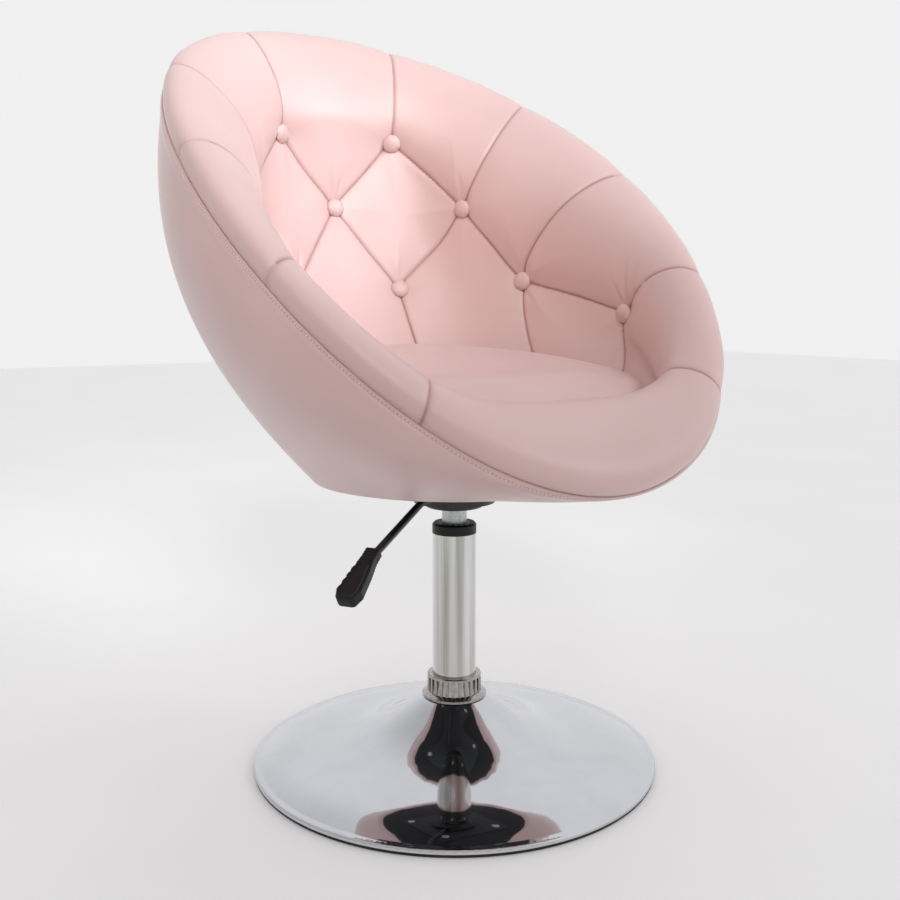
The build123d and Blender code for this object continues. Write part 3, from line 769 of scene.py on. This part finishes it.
def button_covers():
    """All the covered buttons, seated in their dimples, as one mesh."""
    vertices, faces, rim_shade = [], [], []
    turn = np.linspace(0, 2 * pi, BUTTON_STEPS, endpoint=False)
    for number, place in enumerate(buttons):
        spot = face_sample(skin, *place)
        way = face_sample(face_normal, *place)
        side = unit(np.cross(way, [0.0, 0.0, 1.0]))
        rise = np.cross(way, side)
        for k, (radius, height) in enumerate(BUTTON_OUTLINE):
            pucker = 0.12 * np.sin(9 * turn + number) * (radius / 10) ** 6
            for t, shift in zip(turn, pucker):
                across = (radius + shift) * (side * cos(t) + rise * sin(t))
                vertices.append((spot + across + way * (height + BUTTON_STAND)) * MM)
                # painted shade on the button's lowest rings, where it sits in its dimple
                rim_shade.append(0.7 if k < 2 else 0.0)
        start = number * len(BUTTON_OUTLINE) * BUTTON_STEPS
        faces += [
            [start + i for i in quad] for quad in grid_faces(len(BUTTON_OUTLINE), BUTTON_STEPS)
        ]
    obj = new_object("covered_buttons", vertices, faces)
    add_attribute(obj, "crease_shade", rim_shade)
    return obj


finish_piece(button_covers(), LEATHER, "seat", "leather", "tuft_buttons")

# ---------- outer cover ----------
# folded band below the rim seam, and the stitches along it
BAND_WIDTH = 13.0
BAND_HEIGHT = 1.5
BAND_EDGE = 1.8
STITCH_FROM_SEAM = 5.0
STITCH_LENGTH = 2.9
STITCH_PITCH = 4.0
STITCH_RADIUS = 0.55
STITCH_SIDES = 6
# a stitch along its length: place as a share of its half length, thickness as a share
STITCH_PROFILE = ((-1.0, 0.15), (-0.8, 0.75), (-0.3, 1.0), (0.3, 1.0), (0.8, 0.75), (1.0, 0.15))
COVER_ROUND = 720
COVER_LIFT = 0.8
# the grid's rows are close together down to this run from the seam
BAND_ROWS_REACH = 24.0
BAND_ROW_STEP = 0.6
SEAM_DIP = 0.55
STITCH_GROOVE = 0.45
FOLD_REACH = 0.7
# the leather's hem, turned in under the bucket: radius and height
HEM = ((155.0, 331.2), (154.0, 330.7), (152.0, 330.5), (146.0, 330.5))


def outer_grid():
    """Outer face from the seam down, fine across the band, with each row's run from the seam."""
    turn = np.linspace(0, 360, COVER_ROUND, endpoint=False)
    angle = np.radians(90 - turn)
    share = np.linspace(1.0, 0.0, 400)
    angles, shares = np.meshgrid(angle, share)
    points = outside_point(angles, shares)
    steps = np.linalg.norm(np.diff(points, axis=0), axis=-1)
    length = np.concatenate([np.zeros((1, COVER_ROUND)), np.cumsum(steps, axis=0)])
    band = np.append(np.arange(0, BAND_ROWS_REACH, BAND_ROW_STEP), BAND_ROWS_REACH)
    rest = np.linspace(0, 1, 110)[1:] ** 1.15
    rows = len(band) + len(rest)
    grid = np.empty((rows, COVER_ROUND, 3))
    runs = np.empty((rows, COVER_ROUND))
    for i in range(COVER_ROUND):
        total = length[-1, i]
        reach = min(BAND_ROWS_REACH, total * 0.6)
        run = np.concatenate([band / BAND_ROWS_REACH * reach, reach + rest * (total - reach)])
        runs[:, i] = run
        for axis in range(3):
            grid[:, i, axis] = np.interp(run, length[:, i], points[:, i, axis])
    return grid, runs


cover, cover_run = outer_grid()
cover_normal = grid_normals(cover)
if np.mean(cover_normal[60, :, :2] * cover[60, :, :2]) < 0:
    cover_normal = -cover_normal


def outer_cover():
    """Leather over the outside of the bucket, with its folded band below the seam."""
    step = 1 / (1 + np.exp((cover_run - BAND_WIDTH) / BAND_EDGE))
    height = (COVER_LIFT + BAND_HEIGHT * step) * (1 - SEAM_DIP * np.exp(-cover_run / FOLD_REACH))
    height -= STITCH_GROOVE * np.exp(-(((cover_run - STITCH_FROM_SEAM) / 0.9) ** 2))
    x, y, z = np.moveaxis(cover, -1, 0)
    loose = np.clip((cover_run - 30) / 80, 0, 1)
    height += loose * 0.5 * (np.sin(x / 53 + z / 71) + np.sin(y / 61 - z / 47 + 0.8))
    points = cover + cover_normal * height[..., None]
    angle = np.radians(90 - np.linspace(0, 360, COVER_ROUND, endpoint=False))
    hem = [
        np.stack([radius * np.cos(angle), radius * np.sin(angle), 0 * angle + level], -1)
        for radius, level in HEM
    ]
    skin_turn = np.linspace(0, 360, GRID_ROUND + 1)
    cover_turn = np.linspace(0, 360, COVER_ROUND, endpoint=False)
    edge = np.concatenate([skin[-1], skin[-1][:1]])
    edge = np.stack([np.interp(cover_turn, skin_turn, edge[:, k]) for k in range(3)], -1)
    points = np.concatenate([edge[None], points, np.array(hem)])
    faces = grid_faces(len(points), COVER_ROUND)
    obj = new_object("outer_leather", points.reshape(-1, 3) * MM, faces)
    # painted shade in the rim seam's fold and along the stitch groove
    fold_shade = 0.8 * np.exp(-cover_run / FOLD_REACH)
    fold_shade += 0.5 * np.exp(-(((cover_run - STITCH_FROM_SEAM) / FOLD_REACH) ** 2))
    flat = np.zeros((len(HEM), COVER_ROUND))
    add_attribute(obj, "crease_shade", np.concatenate([fold_shade[:1], fold_shade, flat]))
    return obj


finish_piece(outer_cover(), LEATHER, "seat", "leather", "outer_cover", "welt_strip",
             "bottom_ring")


def topstitching():
    """Separate thread stitches along the band, as one mesh."""
    row = int(np.abs(cover_run[:, 0] - STITCH_FROM_SEAM).argmin())
    lift = COVER_LIFT + BAND_HEIGHT - 0.1
    line = cover[row] + cover_normal[row] * lift
    loop = np.concatenate([line, line[:1]])
    run = np.concatenate([[0], np.cumsum(np.linalg.norm(np.diff(loop, axis=0), axis=1))])
    count = int(run[-1] / STITCH_PITCH)
    around = np.linspace(0, 2 * pi, STITCH_SIDES, endpoint=False)
    tube = grid_faces(len(STITCH_PROFILE), STITCH_SIDES)
    last_ring = (len(STITCH_PROFILE) - 1) * STITCH_SIDES
    normals = np.concatenate([cover_normal[row], cover_normal[row][:1]])
    vertices, faces = [], []
    for number in range(count):
        middle = (number + 0.5) * run[-1] / count
        spot = np.array([np.interp(middle, run, loop[:, k]) for k in range(3)])
        ahead = np.array([np.interp(middle + 1, run, loop[:, k]) for k in range(3)])
        up = unit(np.array([np.interp(middle, run, normals[:, k]) for k in range(3)]))
        way = unit(ahead - spot)
        side = np.cross(up, way)
        start = len(vertices)
        for along, share in STITCH_PROFILE:
            centre = spot + way * along * STITCH_LENGTH / 2 + up * (share - 1) * 0.5
            for t in around:
                off = STITCH_RADIUS * share * (side * cos(t) + up * sin(t))
                vertices.append((centre + off) * MM)
        faces += [[start + i for i in quad] for quad in tube]
        faces.append([start + i for i in range(STITCH_SIDES)][::-1])
        faces.append([start + last_ring + i for i in range(STITCH_SIDES)])
    return new_object("topstitching", vertices, faces)


finish_piece(topstitching(), THREAD, "seat", "leather")

# ---------- seat cushion, in metres ----------
CUSHION_VOXEL = 0.005
CUSHION_START = Vector((0.995, 0.995, 0.98))  # size before it swells, beside the CAD solid's
CUSHION_CAP = 0.009
CUSHION_PRESSURE = 1.7
CUSHION_HELD_HEIGHT = 0.022  # the cloth is held below this height above its underside
CUSHION_FORM_SMOOTHING = 14
CUSHION_SMOOTHING = 26
CLOTH_FRAMES = 20


def evaluated_mesh(obj):
    """The mesh of an object after its modifiers."""
    bpy.context.view_layer.update()
    return bpy.data.meshes.new_from_object(
        obj.evaluated_get(bpy.context.evaluated_depsgraph_get())
    )


def smooth(obj, name, iterations):
    """Evens out the vertices of an object."""
    even = obj.modifiers.new(name, "SMOOTH")
    even.factor = 0.5
    even.iterations = iterations


def inflate(obj, pressure, cap, pinned):
    """Swells a closed mesh as cloth under pressure, no vertex moving more than `cap`."""
    rest = coordinates(obj)
    group = obj.vertex_groups.new(name="pinned")
    group.add([int(i) for i in np.where(pinned(rest))[0]], 1.0, "REPLACE")
    cloth = obj.modifiers.new("cloth", "CLOTH")
    settings = cloth.settings
    settings.quality = 6
    settings.mass = 0.3
    settings.tension_stiffness = settings.compression_stiffness = 18
    settings.shear_stiffness = 8
    settings.bending_stiffness = 0.8
    settings.vertex_group_mass = "pinned"
    settings.use_pressure = True
    settings.uniform_pressure_force = pressure
    settings.effector_weights.gravity = 0
    cloth.point_cache.frame_start = 1
    cloth.point_cache.frame_end = CLOTH_FRAMES
    for number in range(1, CLOTH_FRAMES + 1):
        bpy.context.scene.frame_set(number)
    swollen = evaluated_mesh(obj)
    flat = np.empty(len(swollen.vertices) * 3, dtype=np.float32)
    swollen.vertices.foreach_get("co", flat)
    move = flat.reshape(-1, 3) - rest
    length = np.linalg.norm(move, axis=1, keepdims=True)
    obj.modifiers.remove(cloth)
    obj.vertex_groups.clear()
    bpy.data.meshes.remove(swollen)
    bpy.context.scene.frame_set(1)
    set_coordinates(obj, rest + move * np.minimum(1, cap / np.maximum(length, 1e-9)))


def seat_cushion():
    """The loose seat cushion, swollen from its CAD solid."""
    source = nodes["seat_cushion"].data.copy()
    low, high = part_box("seat_cushion")
    middle = (low + high) / 2
    foot = Vector((middle.x, middle.y, low.z))
    shrink = Matrix.Diagonal((*CUSHION_START, 1))
    source.transform(Matrix.Translation(foot) @ shrink @ Matrix.Translation(-foot))
    form = bpy.data.objects.new("cushion_form", source)
    bpy.context.scene.collection.objects.link(form)
    remesh = form.modifiers.new("remesh", "REMESH")
    remesh.mode = "VOXEL"
    remesh.voxel_size = CUSHION_VOXEL
    smooth(form, "even", CUSHION_FORM_SMOOTHING)
    mesh = evaluated_mesh(form)
    bpy.data.objects.remove(form)
    mesh.name = "seat_cushion_leather"
    mesh.materials.clear()
    obj = bpy.data.objects.new("seat_cushion_leather", mesh)
    bpy.context.scene.collection.objects.link(obj)
    held = low.z + CUSHION_HELD_HEIGHT
    inflate(obj, CUSHION_PRESSURE, CUSHION_CAP, lambda spots: spots[:, 2] < held)
    smooth(obj, "settled", CUSHION_SMOOTHING)
    obj.modifiers.new("finer", "SUBSURF").render_levels = 1
    obj.modifiers["finer"].levels = 1
    obj.data.shade_smooth()
    return obj


finish_piece(seat_cushion(), LEATHER, "seat", "leather", "seat_cushion")

# ---------- lever grip: outward from the column's middle and up, in millimetres ----------
LEVER_HEADING = radians(214.0)
GRIP_START = (196.0, 287.0)
GRIP_END = (250.0, 255.0)
GRIP_NECK = 7.5
GRIP_TIP = 13.0
GRIP_HALF_THICKNESS = 6.5
GRIP_AROUND = 72
GRIP_END_BEVEL = 3.0
GRIP_SQUARENESS = 0.3
GRIP_PANEL_INSET = 3.4
GRIP_PANEL_DEPTH = 0.9
GRIP_NOTCH_DEPTH = 0.9


def lever_grip():
    """Moulded paddle grip with finger notches on one side and a sunk panel on both faces."""
    run = GRIP_END[0] - GRIP_START[0]
    fall = GRIP_START[1] - GRIP_END[1]
    length = hypot(run, fall)
    end = length + 6
    wide = 0.9 * length
    bevel = end - GRIP_END_BEVEL
    rounding = GRIP_END_BEVEL * np.sin(np.linspace(0, pi / 2, 12)[1:] * 0.985)
    stations = np.concatenate(
        [np.linspace(0, wide, 48), np.linspace(wide, bevel, 8)[1:], bevel + rounding]
    )
    turn = np.linspace(0, 2 * pi, GRIP_AROUND, endpoint=False)
    rings = []
    for x in stations:
        half = np.interp(
            x,
            [0, 0.2 * length, 0.5 * length, wide, bevel, end],
            [GRIP_NECK, GRIP_NECK, GRIP_NECK + 3, GRIP_TIP, GRIP_TIP - 3.4, GRIP_TIP - 6.5],
        )
        thick = GRIP_HALF_THICKNESS * np.interp(x, [0, 0.3 * length, wide], [0.86, 0.94, 1.0])
        if x > bevel:
            thick *= np.sqrt(1 - ((x - bevel) / GRIP_END_BEVEL) ** 2) ** 0.6
        wave = np.sin(2 * pi * (x - 0.34 * length) / (0.14 * length))
        notch = GRIP_NOTCH_DEPTH * np.clip(wave * 3, 0, 1)
        notch *= (x > 0.34 * length) * (x < 0.84 * length)
        y = half * np.sign(np.cos(turn)) * np.abs(np.cos(turn)) ** GRIP_SQUARENESS
        y -= np.where(np.cos(turn) < 0, -1, 0) * notch
        z = thick * np.sign(np.sin(turn)) * np.abs(np.sin(turn)) ** GRIP_SQUARENESS
        inset = np.minimum(half - np.abs(y), np.minimum(x - 0.3 * length, end - 1.5 - x))
        sunk = 1 / (1 + np.exp(-(inset - GRIP_PANEL_INSET) / 0.35))
        z -= np.sign(z) * GRIP_PANEL_DEPTH * sunk * (np.abs(z) > 0.5 * thick)
        if x < 0.22 * length:
            z += np.sign(z) * 0.35 * np.sin(x * 1.6)
        rings.append(np.stack([0 * turn + x, y, z], axis=-1))
    rings = [rings[0] * [1, 0.5, 0.65]] + rings + [rings[-1] * [1, 0.02, 0.02]]
    vertices = np.concatenate(rings) * MM
    obj = new_object("moulded_grip", vertices, grid_faces(len(rings), GRIP_AROUND))
    place = (
        Matrix.Rotation(LEVER_HEADING, 4, "Z")
        @ Matrix.Translation((GRIP_START[0] * MM, 0, GRIP_START[1] * MM))
        @ Matrix.Rotation(atan2(fall, run), 4, "Y")
    )
    obj.data.transform(place)
    return obj


finish_piece(lever_grip(), BLACK_PLASTIC, "lever", "black_plastic", "lever_grip")

# ---------- floor, light, camera ----------
FLOOR_HALF_SIZE = 8.0
STUDIO_BRIGHT_SIDE = (0.96, 0.28, 0.0)
# brightness of the surroundings, by how far a direction leans to the bright side: position on
# a ramp from straight away (0) to straight towards it (1), then red, green and blue
STUDIO_GLOW = ((0.0, 0.5, 0.49, 0.48), (0.45, 0.6, 0.6, 0.6), (0.68, 0.875, 0.875, 0.875))
COOL = (0.88, 0.92, 1.0)
CAMERA_LENS = 42.0
CAMERA_SENSOR = 36.0
CAMERA_PLACE = (-0.6311, -0.9793, 0.5245)
CAMERA_TILT = 82.0
CAMERA_HEADING = -32.56


def pale_floor():
    """A plain pale floor, which isn't part of the chair."""
    grid = bmesh.new()
    bmesh.ops.create_grid(grid, x_segments=8, y_segments=8, size=FLOOR_HALF_SIZE)
    data = bpy.data.meshes.new("floor")
    grid.to_mesh(data)
    grid.free()
    floor = bpy.data.objects.new("floor", data)
    bpy.context.scene.collection.objects.link(floor)
    look = Look("pale_floor", 0.7, Emission_Strength=0.13, Emission_Color=(1.0, 1.0, 1.0, 1.0))
    shade = look.noise(2.0)
    look.base(look.ramp(shade, (0.3, colour(246, 246, 248)), (0.7, colour(250, 250, 251))))
    data.materials.append(look.material)


def studio_world():
    """Soft surroundings, brighter towards one side."""
    world = bpy.data.worlds.new("studio")
    bpy.context.scene.world = world
    world.use_nodes = True
    tree = world.node_tree
    backdrop = tree.nodes["Background"]
    direction = tree.nodes.new("ShaderNodeTexCoord").outputs["Generated"]
    across = tree.nodes.new("ShaderNodeVectorMath")
    across.operation = "DOT_PRODUCT"
    across.inputs[1].default_value = STUDIO_BRIGHT_SIDE
    shift = tree.nodes.new("ShaderNodeMapRange")
    shift.inputs["From Min"].default_value = -1.0
    glow = tree.nodes.new("ShaderNodeValToRGB")
    while len(glow.color_ramp.elements) < len(STUDIO_GLOW):
        glow.color_ramp.elements.new(0.5)
    for stop, (position, *level) in zip(glow.color_ramp.elements, STUDIO_GLOW):
        stop.position = position
        stop.color = (*level, 1.0)
    tree.links.new(direction, across.inputs[0])
    tree.links.new(across.outputs["Value"], shift.inputs["Value"])
    tree.links.new(shift.outputs["Result"], glow.inputs["Fac"])
    tree.links.new(glow.outputs["Color"], backdrop.inputs["Color"])
    backdrop.inputs["Strength"].default_value = 1.0


def softbox(name, place, target, size, power, spread=180.0, tint=(1.0, 1.0, 1.0)):
    """Rectangular soft light of `size` and `spread` aimed at a point."""
    data = bpy.data.lights.new(name, "AREA")
    data.shape = "RECTANGLE"
    data.size, data.size_y = size
    data.energy = power
    data.spread = radians(spread)
    data.color = tint
    light = bpy.data.objects.new(name, data)
    light.location = place
    light.rotation_euler = (Vector(target) - Vector(place)).to_track_quat("-Z", "Y").to_euler()
    bpy.context.scene.collection.objects.link(light)


pale_floor()
studio_world()
bpy.context.scene.view_settings.view_transform = "Standard"
softbox("key", (0.9, -1.5, 1.9), (0, 0.2, 0.7), (1.1, 1.1), 0.4)
softbox("inner_right", (0.75, -0.95, 1.35), (-0.1, 0.25, 0.76), (0.7, 0.7), 1.25, 42.0, COOL)
softbox("inner_left", (-0.5, -1.0, 1.5), (0.0, 0.28, 0.78), (0.7, 0.7), 1.5, 42.0)

camera_data = bpy.data.cameras.new("camera")
camera_data.lens = CAMERA_LENS
camera_data.sensor_width = CAMERA_SENSOR
camera = bpy.data.objects.new("camera", camera_data)
camera.location = CAMERA_PLACE
camera.rotation_euler = (radians(CAMERA_TILT), 0.0, radians(CAMERA_HEADING))
bpy.context.scene.collection.objects.link(camera)
bpy.context.scene.camera = camera
